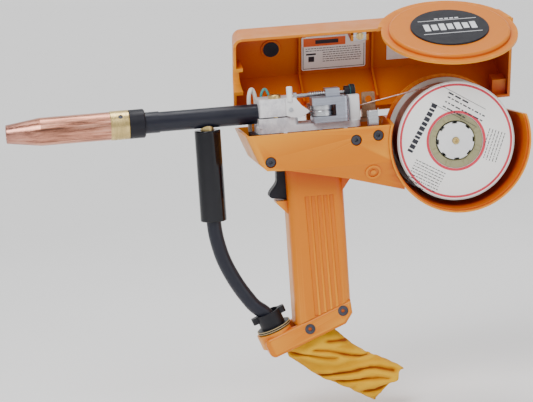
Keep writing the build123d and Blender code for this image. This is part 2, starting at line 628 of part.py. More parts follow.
# pressure arm with its window, swings about an upright pin at the back
PIVOT_X, PIVOT_Y = 28.0, -13.0
ROLL_Y = ROLL_R + WIRE_R + 0.05
with BuildPart() as pressure_arm:
    add(box_at(0, 32, ARM_NEAR_Y, -4, PLATE_TOP + 0.6, 132))
    fillet(pressure_arm.edges().filter_by(Axis.Z), 4)
    add(box_at(-1, 20.6, ARM_NEAR_Y - 1, 0, 116.2, 125.8), mode=Mode.SUBTRACT)
    add(box_at(-5, 0.9, -30, 5, 100, 140), mode=Mode.SUBTRACT)
    add(rod((PIVOT_X, PIVOT_Y, 100), (PIVOT_X, PIVOT_Y, 140), 2.06), mode=Mode.SUBTRACT)
    add(rod((ROLL_X, -ROLL_Y, 113), (ROLL_X, -ROLL_Y, 130), 1.5))
    # bent tab on top
    add(box_at(13, 25, -17, -15.6, 131, 137.5))
    add(box_at(13, 25, -17, -6, 137.5, 138.9))
write(pressure_arm, "pressure_arm")

for y, name, low in ((-ROLL_Y, "pressure_roll", 116.6), (ROLL_Y, "drive_roll", 117.0)):
    with BuildPart() as roll:
        with BuildSketch(Plane.XY.offset(low)):
            with Locations((ROLL_X, y)):
                Circle(ROLL_R)
                if y < 0:
                    Circle(1.6, mode=Mode.SUBTRACT)
        extrude(amount=2 * (AXIS_Z - low))
        with BuildSketch(Plane(origin=(ROLL_X, y, AXIS_Z), x_dir=(1, 0, 0), z_dir=(0, -1, 0))):
            with Locations((ROLL_R + 0.3, 0)):
                Circle(0.8)
        revolve(axis=Axis((ROLL_X, y, 0), (0, 0, 1)), mode=Mode.SUBTRACT)
    write(roll, name)

with BuildPart() as drive_shaft:
    add(rod((ROLL_X, ROLL_Y, 88), (ROLL_X, ROLL_Y, 117), 3.0))
    add(rod((ROLL_X, ROLL_Y, 125), (ROLL_X, ROLL_Y, 128.5), 4.2))
write(drive_shaft, "drive_shaft")

MOTOR_X = -8.0
with BuildPart() as reduction_gear:
    with BuildSketch(Plane.XY.offset(88)):
        with Locations((ROLL_X, ROLL_Y)):
            Circle(15.6)
            with PolarLocations(15.7, 36):
                Rectangle(1.4, 1.2)
            Circle(3.05, mode=Mode.SUBTRACT)
    extrude(amount=6)
write(reduction_gear, "reduction_gear")

with BuildPart() as motor_pinion:
    with BuildSketch(Plane.XY.offset(86)):
        with Locations((MOTOR_X, 0)):
            Circle(3.2)
            with PolarLocations(3.3, 9):
                Rectangle(1.0, 1.1)
    extrude(amount=9)
    add(rod((MOTOR_X, 0, 66.4), (MOTOR_X, 0, 86), 1.5))
write(motor_pinion, "motor_pinion")

with BuildPart() as feed_motor:
    with BuildSketch(Plane.XY.offset(4)):
        with Locations((MOTOR_X + 9, 0)):
            Circle(12.9)
    extrude(amount=60)
    add(rod((MOTOR_X, 0, 64), (MOTOR_X, 0, 66.4), 4.5))
    add(rod((MOTOR_X, 0, 60), (MOTOR_X, 0, 68), 1.6), mode=Mode.SUBTRACT)
write(feed_motor, "feed_motor")

with BuildPart() as gear_case:
    add(box_at(-24, 30, -16, 30, 82, 85))
    add(box_at(-24, -21, -16, 30, 85, 105))
    add(box_at(27, 30, -16, 30, 85, 105))
    add(rod((MOTOR_X, 0, 70), (MOTOR_X, 0, 100), 5.0), mode=Mode.SUBTRACT)
write(gear_case, "gear_case")

# tension rod, spring and knob behind the pressure arm
ROD_Y, ROD_Z = 3.0, 133.0
with BuildPart() as tension_rod:
    add(rod((-12, ROD_Y, ROD_Z), (32, ROD_Y, ROD_Z), 1.7))
    add(box_at(-11.7, -9.0, -1, 7, PLATE_TOP, 136))
    add(box_at(24.5, 27, -1, 7, PLATE_TOP, 136))
    add(rod((-20, 0, AXIS_Z), (40, 0, AXIS_Z), 3.0), mode=Mode.SUBTRACT)
write(tension_rod, "tension_rod")
with BuildPart() as tension_spring:
    add(rod((2, ROD_Y, ROD_Z), (20, ROD_Y, ROD_Z), 3.0))
    add(rod((0, ROD_Y, ROD_Z), (24, ROD_Y, ROD_Z), 1.8), mode=Mode.SUBTRACT)
write(tension_spring, "tension_spring")
with BuildPart() as tension_knob:
    add(rod((32.3, ROD_Y, ROD_Z), (37, ROD_Y, ROD_Z), 5.2))
    add(rod((37, ROD_Y, ROD_Z), (41, ROD_Y, ROD_Z), 6.4))
    chamfer(tension_knob.edges().filter_by(GeomType.CIRCLE).group_by(Axis.X)[-1], 0.6)
write(tension_knob, "tension_knob")

# release lever: nose, plate and upright handle on a cross pin
with BuildPart() as release_lever:
    with BuildSketch(UPRIGHT.offset(15.4)):
        with BuildLine():
            Polyline((-21, 128), (-21, 119), (-16, 117.5), (-9, 116.8), (-1.2, 121.5), (-8, 127),
                     (-13, 133.8), (-21, 133.8), (-21, 128))
        make_face()
    extrude(amount=3.2)
    add(rod((-17.5, -17.9, 131), (-17.5, -17.9, 143.4), 2.5))
    fillet(release_lever.edges().group_by(Axis.Z)[-1], 1.0)
    add(rod((LEVER_X, -25, LEVER_Z), (LEVER_X, 0, LEVER_Z), 1.86), mode=Mode.SUBTRACT)
write(release_lever, "release_lever")
with BuildPart() as pivot_pins:
    add(rod((LEVER_X, -19.4, LEVER_Z), (LEVER_X, -12, LEVER_Z), 1.8))
    add(rod((PIVOT_X, PIVOT_Y, PLATE_TOP), (PIVOT_X, PIVOT_Y, 132.4), 2.0))
    add(rod((TRIGGER_X, -8.5, TRIGGER_Z), (TRIGGER_X, 8.5, TRIGGER_Z), 1.5))
write(pivot_pins, "pivot_pins")

with BuildPart() as wire_inlet:
    add(box_at(33, 42, -14, 2.4, PLATE_TOP, 131.5))
    fillet(wire_inlet.edges().filter_by(Axis.Z), 1.2)
    add(rod((20, 0, AXIS_Z), (50, 0, AXIS_Z), 2.2), mode=Mode.SUBTRACT)
    add(rod((30, ROD_Y, ROD_Z), (50, ROD_Y, ROD_Z), 7), mode=Mode.SUBTRACT)
write(wire_inlet, "wire_inlet")

with BuildPart() as guide_bracket:
    add(box_at(42, 60, -6, 12, PLATE_TOP - 3, PLATE_TOP - 0.5))
    with BuildSketch(UPRIGHT.offset(-8)):
        with Locations((53.5, 120)):
            RectangleRounded(11.5, 22, 1.5)
        with Locations((53.5, 125)):
            Circle(3, mode=Mode.SUBTRACT)
    extrude(amount=-2.2)
    with BuildSketch(UPRIGHT.offset(-8.2)):
        with Locations((53.5, 125)):
            Circle(4.2)
            Circle(2.9, mode=Mode.SUBTRACT)
    extrude(amount=0.8)
write(guide_bracket, "guide_bracket")

with BuildPart() as catch_magnet:
    add(box_at(45.5, 53.5, -32.5, -25, 104, 119.2))
    add(rod((51.4, -40, 99), (51.4, -20, 99), 5.85), mode=Mode.SUBTRACT)
    fillet(catch_magnet.edges().group_by(Axis.Z)[-1], 1)
write(catch_magnet, "catch_magnet")

# welding wire: from the tip to the inlet, then straight to the top of the winding
wire_start = Vector(44, 0, AXIS_Z)
to_centre = Vector(SPOOL_X, 0, SPOOL_Z) - wire_start
reach = math.sqrt(to_centre.length ** 2 - (WOUND_R + 0.6) ** 2)
lift = math.atan2(to_centre.Z, to_centre.X) + math.asin((WOUND_R + 0.6) / to_centre.length)
wire_end = wire_start + Vector(math.cos(lift), 0, math.sin(lift)) * reach + Vector(0, -10, 0)
with BuildPart() as welding_wire:
    add(rod((-248, 0, AXIS_Z), (44, 0, AXIS_Z), WIRE_R))
    add(rod((43.9, 0, AXIS_Z), tuple(wire_end), WIRE_R))
write(welding_wire, "welding_wire")

# ---- trigger -------------------------------------------------------------------------------------
with BuildPart() as trigger:
    with BuildSketch(UPRIGHT.offset(6.0)):
        with BuildLine():
            Polyline((-20, 74.6), (-30.5, 74.6), (-31, 66))
            Spline((-31, 66), (-32.5, 60.5), (-37, 55), (-38.2, 51.8), (-36, 49.2))
            Polyline((-36, 49.2), (-25, 47.6), (-20, 47.6), (-20, 74.6))
        make_face()
    extrude(amount=-12)
    fillet(trigger.edges().filter_by(lambda e: e.center().X < -29), 1.2)
    add(rod((TRIGGER_X, -20, TRIGGER_Z), (TRIGGER_X, 20, TRIGGER_Z), 1.56), mode=Mode.SUBTRACT)
write(trigger, "trigger")
with BuildPart() as trigger_switch:
    add(box_at(-20, -13.5, -5, 5, 34, 45))
    add(rod((-17, 0, 45), (-17, 0, 46.2), 1.2))
write(trigger_switch, "trigger_switch")

# ---- leads above the barrel clamp ------------------------------------------------------------------
WHITE_ROUTE = [(-48.4, 11.6, 105.2), (-48.4, 11.8, 120), (-47.4, 12.8, 136), (-44.5, 15.2, 142), (-41.8, 17.0, 136),
               (-41, 17.4, 118), (-41, 17.2, 105)]
GREEN_ROUTE = [(-37, 17.2, 98), (-37.5, 17.2, 120), (-36.5, 16.5, 136), (-33, 16.5, 141), (-30, 17, 135),
               (-28, 17.4, 118), (-27, 17.6, 107)]
for name, route, radius in (("white_lead", WHITE_ROUTE, 1.7), ("green_lead", GREEN_ROUTE, 1.1)):
    with BuildPart() as lead:
        add(tube_along(route, radius))
    write(lead, name)
    print(name, "radii", [round(r, 1) for r in bend_radii(route)])

# ---- cloth cable sleeve hanging from the foot ---------------------------------------------------------
with BuildPart() as cable_sleeve:
    stations = (((-11, 0, -72), 44, 24), ((10, 0, -84), 38, 21), ((30, 0, -98), 33, 19), ((52, 0, -115), 32, 16))
    for centre, wide, deep in stations:
        with BuildSketch(Plane(origin=centre, x_dir=(0.36, 0, 0.93), z_dir=(0.80, 0, -0.60))):
            RectangleRounded(wide, deep, deep * 0.45)
    loft()
write(cable_sleeve, "cable_sleeve")
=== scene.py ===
"""Spool gun: finishes, printed plates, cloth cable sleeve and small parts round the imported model."""
import json
import math
import random

import bmesh
import bpy
from bpy.props import FloatProperty, FloatVectorProperty, IntProperty, PointerProperty
from mathutils import Matrix, Vector, noise


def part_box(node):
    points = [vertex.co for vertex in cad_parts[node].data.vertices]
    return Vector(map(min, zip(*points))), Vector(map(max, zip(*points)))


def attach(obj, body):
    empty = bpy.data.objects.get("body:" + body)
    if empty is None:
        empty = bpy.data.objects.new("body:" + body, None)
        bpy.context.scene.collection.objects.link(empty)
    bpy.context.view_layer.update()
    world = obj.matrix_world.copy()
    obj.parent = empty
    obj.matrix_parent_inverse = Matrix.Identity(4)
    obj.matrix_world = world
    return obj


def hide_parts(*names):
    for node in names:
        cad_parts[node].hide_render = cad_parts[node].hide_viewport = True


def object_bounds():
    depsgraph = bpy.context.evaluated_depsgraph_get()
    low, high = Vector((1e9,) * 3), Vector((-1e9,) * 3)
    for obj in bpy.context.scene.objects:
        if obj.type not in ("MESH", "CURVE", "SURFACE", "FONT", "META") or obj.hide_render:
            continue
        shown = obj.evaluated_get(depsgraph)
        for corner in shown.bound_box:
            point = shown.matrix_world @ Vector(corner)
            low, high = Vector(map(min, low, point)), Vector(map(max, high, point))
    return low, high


bl_info = {
    "name": "Spool gun finisher",
    "version": (1, 0, 0),
    "blender": (4, 5, 0),
    "location": "View3D > Sidebar > Spool gun",
    "description": "Builds the looks of a spool gun round its packed CAD model",
    "category": "Object",
}

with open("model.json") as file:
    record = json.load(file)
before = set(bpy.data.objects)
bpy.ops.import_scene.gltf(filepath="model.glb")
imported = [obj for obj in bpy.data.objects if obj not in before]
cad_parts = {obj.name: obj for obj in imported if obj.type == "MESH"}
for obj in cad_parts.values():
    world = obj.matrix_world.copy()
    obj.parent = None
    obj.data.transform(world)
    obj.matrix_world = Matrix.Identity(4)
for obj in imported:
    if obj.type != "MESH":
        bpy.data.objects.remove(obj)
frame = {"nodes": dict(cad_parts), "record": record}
NODES = frame["nodes"]
CAD_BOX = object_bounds()
MM = 0.001


# ---- places worked out from the frame ------------------------------------------------------
def corners(node):
    """Lowest and highest corner of a CAD node as vectors."""
    low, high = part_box(node)
    return Vector(low), Vector(high)


def middle(node):
    """Centre of a CAD node's box."""
    low, high = corners(node)
    return (low + high) / 2


def joint_facts(name):
    """What the record says of a joint."""
    for joint in frame["record"]["behaviour"]["joints"]:
        if joint["name"] == name:
            return joint
    raise RuntimeError("no joint " + name)


LID_JOINT = joint_facts("lid_hinge")
HINGE = Vector(LID_JOINT["pos_m"])
LID_TURN = Matrix.Rotation(-math.radians(LID_JOINT["range_deg"][1]), 3, "X")  # from closed to the rest pose
SPOOL_CENTRE = middle("spool")


def swing_open(point):
    """A point drawn on the closed cover, carried to the open position."""
    return HINGE + LID_TURN @ (Vector(point) - HINGE)


def frame_of(along, up):
    """Rotation whose columns are along, up and the normal to both."""
    return Matrix((along, up, along.cross(up))).transposed()


# ---- user settings ---------------------------------------------------------------------------
class GunColours(bpy.types.PropertyGroup):
    """Colours of the gun's finishes."""
    case: FloatVectorProperty(name="Case", description="Orange of the moulded case", subtype="COLOR",
                              default=(0.66, 0.185, 0.0), min=0, max=1)
    # painted shade: the colour the case is given in its hollows, where shade falls
    case_painted_shade: FloatVectorProperty(name="Case recess", description="Tone of the case in its hollows",
                                   subtype="COLOR", default=(0.50, 0.040, 0.004), min=0, max=1)
    cloth: FloatVectorProperty(name="Cloth", description="Dyed duck of the cable sleeve", subtype="COLOR",
                               default=(0.70, 0.33, 0.0), min=0, max=1)
    print_ink: FloatVectorProperty(name="Ink", description="Dark printing ink", subtype="COLOR",
                                   default=(0.015, 0.015, 0.025), min=0, max=1)
    ring_ink: FloatVectorProperty(name="Ring ink", description="Red rings of the spool label",
                                  subtype="COLOR", default=(0.62, 0.012, 0.045), min=0, max=1)
    copper: FloatVectorProperty(name="Copper", description="Drawn copper of the nozzle", subtype="COLOR",
                                default=(0.62, 0.27, 0.18), min=0, max=1)


class GunSizes(bpy.types.PropertyGroup):
    """Sizes of the finer pieces."""
    wire_gauge: FloatProperty(name="Wire gauge", description="Pitch of the wound wire", default=0.0012,
                              unit="LENGTH", min=0.0006, max=0.003)
    cloth_weight: FloatProperty(name="Cloth thickness", description="Thickness of the sleeve cloth",
                                default=0.0011, unit="LENGTH", min=0.0004, max=0.003)
    fold_depth: FloatProperty(name="Fold depth", description="Height of the cloth's folds", default=0.0042,
                              unit="LENGTH", min=0, max=0.01)
    spring_turns: IntProperty(name="Spring turns", description="Coils of the tension spring", default=9,
                              min=3, max=20)


# ---- mesh and material helpers -----------------------------------------------------------------
def new_piece(name, bm, body, material, smooth=30, replaces=()):
    """Turn a bmesh into a shown piece that rides a body."""
    mesh = bpy.data.meshes.new(name)
    bm.to_mesh(mesh)
    bm.free()
    piece = bpy.data.objects.new(name, mesh)
    bpy.context.scene.collection.objects.link(piece)
    mesh.materials.append(material)
    if smooth:
        for face in mesh.polygons:
            face.use_smooth = True
        mesh.set_sharp_from_angle(angle=math.radians(smooth))
    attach(piece, body)
    if replaces:
        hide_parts(*replaces)
    return piece


class Nodes:
    """Small wrapper that builds a node material."""

    def __init__(self, name, roughness=0.5, metallic=0.0, **sockets):
        self.material = bpy.data.materials.new(name)
        self.material.use_nodes = True
        self.tree = self.material.node_tree
        self.shader = self.tree.nodes["Principled BSDF"]
        self.shader.inputs["Roughness"].default_value = roughness
        self.shader.inputs["Metallic"].default_value = metallic
        for socket, value in sockets.items():
            self.shader.inputs[socket.replace("_", " ")].default_value = value
        self.coords = self.tree.nodes.new("ShaderNodeTexCoord").outputs["Object"]

    def add(self, kind, **settings):
        """New node of a kind, with its settings."""
        node = self.tree.nodes.new("ShaderNode" + kind)
        for key, value in settings.items():
            setattr(node, key, value)
        return node

    def link(self, out, into):
        """Join two sockets."""
        self.tree.links.new(out, into)

    def mapped(self, scale=(1, 1, 1), offset=(0, 0, 0)):
        """Object coordinates, moved and scaled."""
        node = self.add("Mapping")
        node.inputs["Location"].default_value = offset
        node.inputs["Scale"].default_value = scale
        self.link(self.coords, node.inputs["Vector"])
        return node.outputs["Vector"]

    def noise(self, scale, detail=4, rough=0.55, vector=None):
        """Noise factor socket."""
        node = self.add("TexNoise")
        node.inputs["Scale"].default_value = scale
        node.inputs["Detail"].default_value = detail
        node.inputs["Roughness"].default_value = rough
        self.link(vector or self.coords, node.inputs["Vector"])
        return node.outputs["Fac"]

    def ramp(self, fac, stops):
        """Colour ramp over a factor: stops are (position, colour)."""
        node = self.add("ValToRGB")
        while len(node.color_ramp.elements) < len(stops):
            node.color_ramp.elements.new(0.5)
        for element, (place, colour) in zip(node.color_ramp.elements, stops):
            element.position = place
            element.color = (*colour[:3], 1)
        self.link(fac, node.inputs["Fac"])
        return node.outputs["Color"]

    def mix(self, fac, first, second):
        """Mix of two colours, each a socket or a plain colour."""
        node = self.add("Mix", data_type="RGBA")
        self.link(fac, node.inputs["Factor"])
        for value, socket in ((first, node.inputs["A"]), (second, node.inputs["B"])):
            if isinstance(value, bpy.types.NodeSocket):
                self.link(value, socket)
            else:
                socket.default_value = (*value[:3], 1)
        return node.outputs["Result"]

    def map_range(self, value, low, high, to_low, to_high):
        """Value carried from one range to another."""
        node = self.add("MapRange")
        for key, number in (("From Min", low), ("From Max", high), ("To Min", to_low), ("To Max", to_high)):
            node.inputs[key].default_value = number
        self.link(value, node.inputs["Value"])
        return node.outputs["Result"]

    def colour(self, socket):
        """Send a colour to the shader."""
        self.link(socket, self.shader.inputs["Base Color"])

    def roughness(self, socket):
        """Send a roughness to the shader."""
        self.link(socket, self.shader.inputs["Roughness"])

    def bump(self, height, strength, distance):
        """Raise the surface by a height map."""
        node = self.add("Bump")
        node.inputs["Strength"].default_value = strength
        node.inputs["Distance"].default_value = distance
        self.link(height, node.inputs["Height"])
        self.link(node.outputs["Normal"], self.shader.inputs["Normal"])


def darker(colour, share):
    """A colour scaled towards black."""
    return tuple(channel * share for channel in colour[:3])


def grained(name, colour, roughness, grain=900, depth=0.00006, **sockets):
    """Finish with a fine grain, a soft drift of tone and uneven gloss."""
    mottle, spread = 18, 0.82
    look = Nodes(name, roughness, **sockets)
    drift = look.noise(mottle, 5)
    look.colour(look.ramp(drift, ((0.3, darker(colour, spread)), (0.7, colour))))
    fine = look.noise(grain, 3)
    look.roughness(look.map_range(look.noise(mottle * 4), 0.3, 0.7, roughness * 0.8, min(1, roughness * 1.2)))
    look.bump(fine, 0.35, depth)
    return look.material


def brushed(name, colour, roughness, scale, spread=0.55):
    """Drawn or turned metal: streaks stretched along one way, with a few darker stains."""
    look = Nodes(name, roughness, 1.0)
    streak = look.noise(1, 6, 0.65, look.mapped(scale))
    stain = look.noise(38, 8, 0.7)
    tone = look.ramp(stain, ((0.38, darker(colour, spread)), (0.56, colour)))
    look.colour(look.mix(look.map_range(streak, 0.35, 0.65, 0, 0.5), tone, darker(colour, 0.5)))
    look.roughness(look.map_range(streak, 0.3, 0.7, roughness * 0.65, roughness * 1.5))
    look.bump(streak, 0.4, 0.00005)
    return look.material


def moulded_orange(colours):
    """Semi-gloss moulded case, with painted shade: deeper and redder in its hollows, and a painted highlight
    along its edges.
    """
    look = Nodes("orange_case", 0.36, Specular_IOR_Level=0.30)
    # painted shade: the AO node finds the hollows, and there the case's colour turns towards the painted
    # shade colour
    hollow = look.add("AmbientOcclusion", samples=8)
    hollow.inputs["Distance"].default_value = 0.055
    drift = look.ramp(look.noise(9, 4), ((0.3, darker(colours.case, 0.93)), (0.7, colours.case)))
    shade = look.map_range(hollow.outputs["AO"], 0.30, 0.86, 0, 1)
    tone = look.mix(shade, colours.case_painted_shade, drift)
    # painted highlight: the case's sharp edges are mixed towards a lighter orange
    edge = look.add("NewGeometry").outputs["Pointiness"]
    painted_edge_highlight = look.map_range(edge, 0.53, 0.60, 0, 0.45)
    look.colour(look.mix(painted_edge_highlight, tone, (0.90, 0.42, 0.03)))
    look.roughness(look.map_range(look.noise(60, 3), 0.3, 0.7, 0.28, 0.42))
    look.bump(look.noise(1400, 2), 0.22, 0.00005)
    return look.material


def woven_duck(colours):
    """Heavy cotton duck: crossed threads on the cloth's own UV map, with painted shade in the crease valleys
    and a painted highlight on the fold ridges.
    """
    look = Nodes("cotton_duck", 0.86, Sheen_Weight=0.06, Specular_IOR_Level=0.15)
    uv = look.add("UVMap", uv_map="cloth").outputs["UV"]
    heights = []
    for direction in ("X", "Y"):
        wave = look.add("TexWave", bands_direction=direction)
        wave.inputs["Scale"].default_value = 300
        wave.inputs["Distortion"].default_value = 1.2
        wave.inputs["Detail Scale"].default_value = 3
        look.link(uv, wave.inputs["Vector"])
        heights.append(wave.outputs["Fac"])
    weave = look.add("Math", operation="MAXIMUM")
    look.link(heights[0], weave.inputs[0])
    look.link(heights[1], weave.inputs[1])
    soil = look.ramp(look.noise(26, 6, 0.6), ((0.34, darker(colours.cloth, 0.82)), (0.62, colours.cloth)))
    fold = look.add("Attribute", attribute_name="fold").outputs["Fac"]
    # painted shade: the crease valleys, low in the fold height, are darkened towards a deep brown
    crease_painted_shade = look.mix(look.map_range(fold, 0.05, 0.42, 0.9, 0), soil, (0.30, 0.055, 0.004))
    # painted highlight: the fold ridges, high in the fold height, are lightened towards a bright yellow
    lit = look.mix(look.map_range(fold, 0.55, 0.85, 0, 0.55), crease_painted_shade, (0.84, 0.50, 0.02))
    look.colour(lit)
    look.bump(weave.outputs["Value"], 0.5, 0.0002)
    return look.material


def paper(colours):
    """Spool label: white card with two red rings about the spool axis."""
    radius_scale = 10  # a ramp runs from 0 to 1, so the radii in metres are scaled up
    look = Nodes("label_card", 0.42, Coat_Weight=0.15)
    place = look.mapped(offset=tuple(-SPOOL_CENTRE))
    flat = look.add("VectorMath", operation="MULTIPLY")
    flat.inputs[1].default_value = (1, 0, 1)
    look.link(place, flat.inputs[0])
    radius = look.add("VectorMath", operation="LENGTH")
    look.link(flat.outputs["Vector"], radius.inputs[0])
    white = (0.90, 0.90, 0.88)
    scaled = look.add("Math", operation="MULTIPLY")
    scaled.inputs[1].default_value = radius_scale
    look.link(radius.outputs["Value"], scaled.inputs[0])
    stops = ((0.0, colours.ring_ink), (0.0252, white), (0.0460, colours.ring_ink), (0.0480, white))
    rings = look.ramp(scaled.outputs["Value"], [(reach * radius_scale, colour) for reach, colour in stops])
    rings.node.color_ramp.interpolation = "CONSTANT"
    fibre = look.map_range(look.noise(700, 3), 0.3, 0.7, 0.0, 0.06)
    look.colour(look.mix(fibre, rings, (0.6, 0.58, 0.52)))
    look.bump(look.noise(900, 3), 0.15, 0.00003)
    return look.material


def nozzle_copper(colours):
    """Drawn copper with long pulled streaks and a heat stain towards the tip."""
    look = Nodes("nozzle_copper", 0.26, 1.0)
    streak = look.noise(1, 7, 0.7, look.mapped((26, 420, 420)))
    speckle = look.noise(520, 5, 0.75)
    bright = (0.86, 0.50, 0.38)
    tone = look.ramp(streak, ((0.36, darker(colours.copper, 0.34)), (0.52, colours.copper), (0.72, bright)))
    spotted = look.mix(look.map_range(speckle, 0.52, 0.72, 0, 0.35), tone, darker(colours.copper, 0.4))
    split = look.add("SeparateXYZ")
    look.link(look.coords, split.inputs["Vector"])
    tip = corners("gas_nozzle")[0].x
    heat = look.map_range(split.outputs["X"], tip, tip + 0.03, 0.55, 0.0)
    look.colour(look.mix(heat, spotted, (0.42, 0.20, 0.17)))
    look.roughness(look.map_range(streak, 0.3, 0.7, 0.16, 0.42))
    look.bump(streak, 0.3, 0.00006)
    return look.material


def milky_plastic():
    """Spool moulding that lets some light through."""
    look = Nodes("milky_spool", 0.28, Transmission_Weight=0.35, IOR=1.46, Coat_Weight=0.2)
    look.colour(look.ramp(look.noise(30, 4), ((0.3, (0.70, 0.72, 0.68)), (0.7, (0.90, 0.91, 0.90)))))
    look.bump(look.noise(400, 2), 0.15, 0.00004)
    return look.material


def sand_casting():
    """Bright sand-cast alloy with a pitted skin."""
    look = Nodes("sand_casting", 0.42, 0.35)
    look.colour(look.ramp(look.noise(90, 8, 0.7), ((0.30, (0.55, 0.55, 0.60)), (0.55, (0.88, 0.88, 0.90)))))
    look.roughness(look.map_range(look.noise(300, 4), 0.3, 0.7, 0.3, 0.6))
    look.bump(look.noise(1500, 4), 0.55, 0.00016)
    return look.material


def build_materials():
    """Every finish, by the record's slot name or, for the pieces made here, by a name of its own."""
    colours = bpy.context.scene.gun_colours
    return {
        "orange_plastic": moulded_orange(colours),
        "copper": nozzle_copper(colours),
        "brass": brushed("turned_brass", (0.83, 0.62, 0.26), 0.30, (900, 60, 60), spread=0.7),
        "black_steel": brushed("blackened_steel", (0.10, 0.10, 0.12), 0.38, (300, 300, 300), spread=0.7),
        "steel": brushed("ground_steel", (0.66, 0.68, 0.72), 0.28, (40, 40, 900), spread=0.75),
        "cast_alloy": sand_casting(),
        "black_phenolic": grained("black_moulding", (0.010, 0.010, 0.016), 0.42, grain=1200,
                                  Specular_IOR_Level=0.25),
        "black_gloss": grained("gloss_sleeve", (0.004, 0.004, 0.007), 0.12, grain=60, depth=0.00002,
                               Specular_IOR_Level=0.35),
        "black_rubber": grained("satin_rubber", (0.009, 0.010, 0.020), 0.38, grain=700, depth=0.00008,
                                Specular_IOR_Level=0.35),
        "black_nylon": grained("black_nylon", (0.008, 0.008, 0.012), 0.45, grain=800, depth=0.0001,
                               Specular_IOR_Level=0.3),
        "clear_plastic": milky_plastic(),
        "white_plastic": grained("white_moulding", (0.84, 0.85, 0.86), 0.38, grain=900),
        "paper": paper(colours),
        "liner_plastic": grained("liner_plastic", (0.70, 0.70, 0.66), 0.4),
        "white_pvc": grained("white_insulation", (0.86, 0.84, 0.78), 0.35, grain=500),
        "green_pvc": grained("green_insulation", (0.06, 0.34, 0.32), 0.35, grain=500),
        "wire": brushed("drawn_wire", (0.72, 0.50, 0.44), 0.34, (60, 900, 60), spread=0.6),
        "cloth": woven_duck(colours),
        "ink": grained("print_ink", colours.print_ink, 0.5, grain=600),
        "white_ink": grained("white_ink", (0.80, 0.81, 0.84), 0.45, grain=600),
        "orange_ink": grained("orange_ink", (0.80, 0.13, 0.02), 0.45, grain=600),
        "teal": grained("teal_disc", (0.02, 0.16, 0.17), 0.4, grain=600),
        "tan": grained("tan_fibre", (0.55, 0.42, 0.20), 0.7, grain=500),
        "core": grained("spool_core", (0.34, 0.32, 0.17), 0.45, grain=300),
        "plated_block": brushed("plated_block", (0.50, 0.53, 0.62), 0.30, (30, 700, 700), spread=0.85),
        "bronze": brushed("bronze", (0.42, 0.26, 0.16), 0.42, (300, 300, 300), spread=0.6),
    }


LOOKS = {}
# parts whose finish differs from that of their material slot
NODE_LOOKS = {"pressure_arm": "plated_block", "guide_bracket": "bronze"}


# ---- shapes -------------------------------------------------------------------------------------
def add_box(bm, centre, size, turn=None):
    """Box added to a bmesh; turn is a 3x3 rotation about its centre."""
    made = bmesh.ops.create_cube(bm, size=1.0)["verts"]
    matrix = Matrix.Translation(centre) @ (turn.to_4x4() if turn else Matrix()) @ Matrix.Diagonal((*size, 1))
    bmesh.ops.transform(bm, matrix=matrix, verts=made)
    return made


def only_verts(geometry):
    """The vertices among what a bmesh operator returned."""
    return [item for item in geometry if isinstance(item, bmesh.types.BMVert)]


def soften(bm, width, angle):
    """Chamfer every edge sharper than an angle in degrees."""
    sharp = [e for e in bm.edges if len(e.link_faces) == 2 and e.calc_face_angle(0) > math.radians(angle)]
    bmesh.ops.bevel(bm, geom=sharp, offset=width, segments=1, profile=0.5, affect="EDGES",
                    material=-1, clamp_overlap=True)


def lathe(bm, outline, centre, axis, steps):
    """Spin a closed outline of (along, radius) points about an axis through a centre."""
    axis = Vector(axis)
    side = axis.orthogonal().normalized()
    verts = [bm.verts.new(Vector(centre) + axis * along + side * radius) for along, radius in outline]
    edges = [bm.edges.new(pair) for pair in zip(verts, verts[1:] + verts[:1])]
    bmesh.ops.spin(bm, geom=verts + edges, cent=centre, axis=axis, angle=math.tau, steps=steps,
                   use_merge=True)
    bmesh.ops.remove_doubles(bm, verts=bm.verts, dist=1e-6)
    bmesh.ops.recalc_face_normals(bm, faces=bm.faces)


INK_THICK = 0.00006
LABEL_LIFT = 0.00004  # small print stands this far off the label's face


def lines_of_print(bm, place, rows, row_gap, length, bar, seed, along, up):
    """Rows of short dashes that stand for small print."""
    draw = random.Random(seed)
    normal = along.cross(up).normalized()
    turn = Matrix((along, up, normal)).transposed()
    for row in range(rows):
        at = 0.0
        end = length * (1.0 if row < rows - 1 else 0.6)
        while at < end:
            dash = min(end - at, draw.uniform(0.4, 1.6) * bar * 3)
            if dash > bar:
                centre = place + along * (at + dash / 2) - up * (row * row_gap) + normal * LABEL_LIFT
                add_box(bm, centre, (dash, bar, INK_THICK), turn)
            at += dash + bar * 1.1


